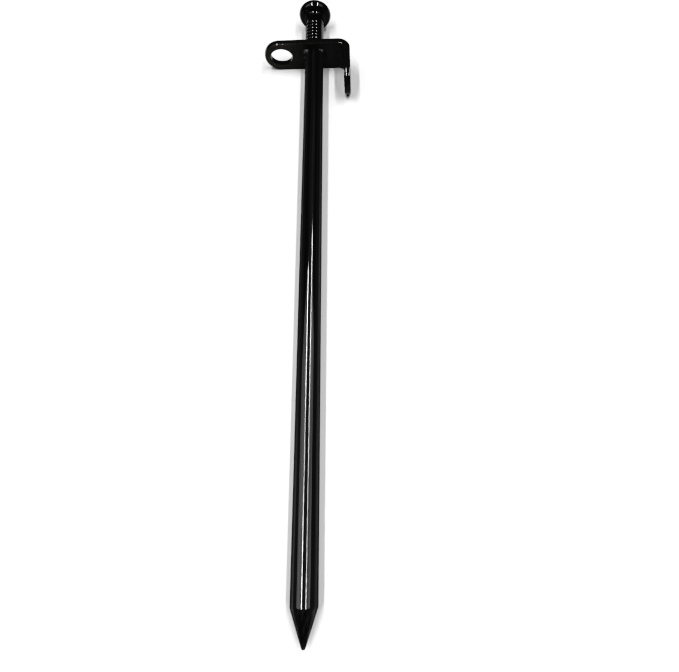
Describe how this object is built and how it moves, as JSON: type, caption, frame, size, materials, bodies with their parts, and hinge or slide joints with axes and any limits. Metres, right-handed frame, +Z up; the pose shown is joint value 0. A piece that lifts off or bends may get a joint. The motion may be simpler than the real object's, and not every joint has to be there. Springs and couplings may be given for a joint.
{
  "type": "tent stake",
  "caption": "Black painted steel ground stake: round spike with a forged head and ridged neck, and a welded cross plate with an eyelet at one end and a down-turned hook at the other.",
  "frame": {"origin": "centre of the footprint on the ground, with the stake lying on its side as it rests", "axes": "+Y along the spike from the point to the head, +X from the eyelet side to the hook side, +Z up"},
  "size_m": [0.0453, 0.3, 0.0178],
  "materials": {
    "spike_paint": "gloss black coating with fine lengthwise drawing lines in the steel below",
    "plate_paint": "satin to gloss black coating over stamped steel plate, slightly rough along the sheared edges",
    "weld_paint": "black coating over rippled weld metal"
  },
  "bodies": {
    "root": {"spike": "spike_paint", "hook_plate": "plate_paint", "weld_bead_left": "weld_paint", "weld_bead_right": "weld_paint"}
  },
  "joints": []
}
